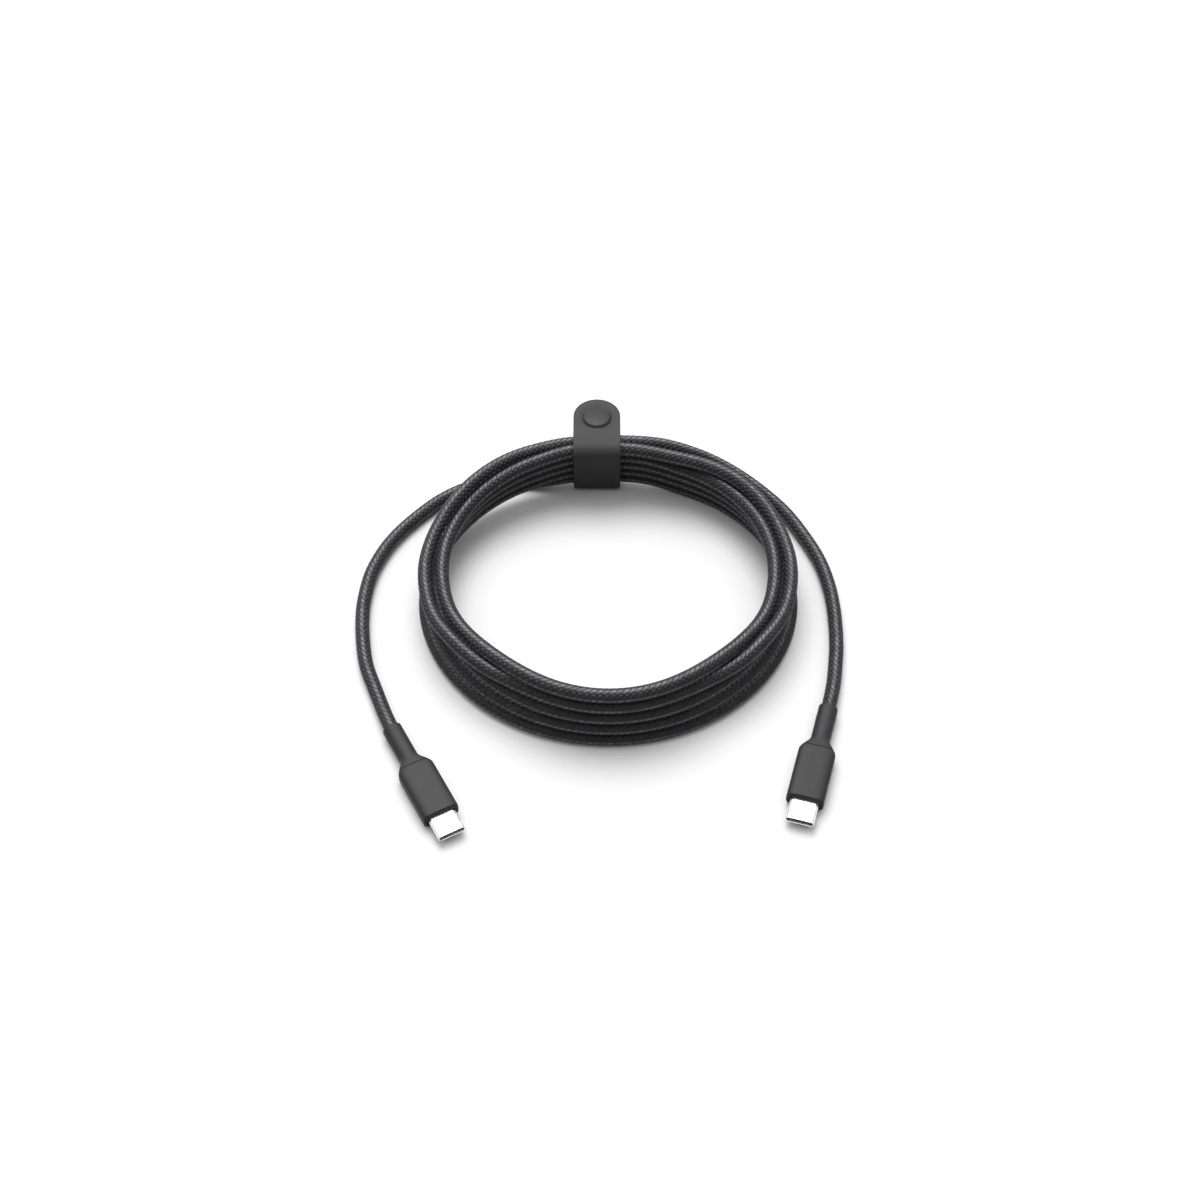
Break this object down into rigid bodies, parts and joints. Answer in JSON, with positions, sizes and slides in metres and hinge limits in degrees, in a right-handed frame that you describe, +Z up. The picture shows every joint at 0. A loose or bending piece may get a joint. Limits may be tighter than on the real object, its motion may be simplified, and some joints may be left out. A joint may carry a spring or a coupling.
{
  "type": "charging cable",
  "caption": "Braided charging cable wound into a flat ring, with a reversible plug at each end and a snap strap holding the turns.",
  "frame": {"origin": "on the surface the cable lies on, under the middle of its bounding box", "axes": "+Z up; +Y towards the strap at the back of the coil; both plugs point towards -Y"},
  "size_m": [0.1488, 0.153, 0.0243],
  "materials": {
    "braid": "woven nylon sleeve, matt black with grey flecks",
    "overmould": "fine matt moulded elastomer",
    "plug_metal": "bright plated stainless steel",
    "contact_gold": "gold plated",
    "insulator": "moulded black insulator",
    "laminate": "green solder mask",
    "chip": "moulded package",
    "wire_red": "wire insulation",
    "wire_black": "wire insulation",
    "wire_green": "wire insulation",
    "wire_white": "wire insulation",
    "strap": "dark grey synthetic leather, fine matt grain",
    "snap": "black enamelled press stud"
  },
  "bodies": {
    "root": {"left_tail": "braid", "coil": "braid", "right_tail": "braid", "left_plug_housing": "overmould", "left_strain_relief": "overmould", "left_plug_shell": "plug_metal", "left_contact_carrier": "insulator", "left_contacts_upper": "contact_gold", "left_contacts_lower": "contact_gold", "left_latch_plate": "plug_metal", "left_circuit_board": "laminate", "left_marker_chip": "chip", "left_shield_upper": "plug_metal", "left_shield_lower": "plug_metal", "left_crimp_ring": "plug_metal", "left_jacket_end": "insulator", "left_wire_power": "wire_red", "left_wire_ground": "wire_black", "left_wire_data": "wire_green", "left_wire_config": "wire_white", "right_plug_housing": "overmould", "right_strain_relief": "overmould", "right_plug_shell": "plug_metal", "right_contact_carrier": "insulator", "right_contacts_upper": "contact_gold", "right_contacts_lower": "contact_gold", "right_latch_plate": "plug_metal", "right_circuit_board": "laminate", "right_marker_chip": "chip", "right_shield_upper": "plug_metal", "right_shield_lower": "plug_metal", "right_crimp_ring": "plug_metal", "right_jacket_end": "insulator", "right_wire_power": "wire_red", "right_wire_ground": "wire_black", "right_wire_data": "wire_green", "right_wire_config": "wire_white", "strap_loop": "strap", "snap_stud": "snap", "snap_rivet": "snap"},
    "strap_flap": {"strap_flap": "strap", "snap_cap": "snap", "snap_socket": "snap"}
  },
  "joints": [
    {"name": "strap_flap_bend", "type": "hinge", "parent": "root", "child": "strap_flap", "pos_m": [-0.00044, 0.06038, 0.02434], "axis": [1, 0, 0], "range_deg": [0, 120]}
  ]
}
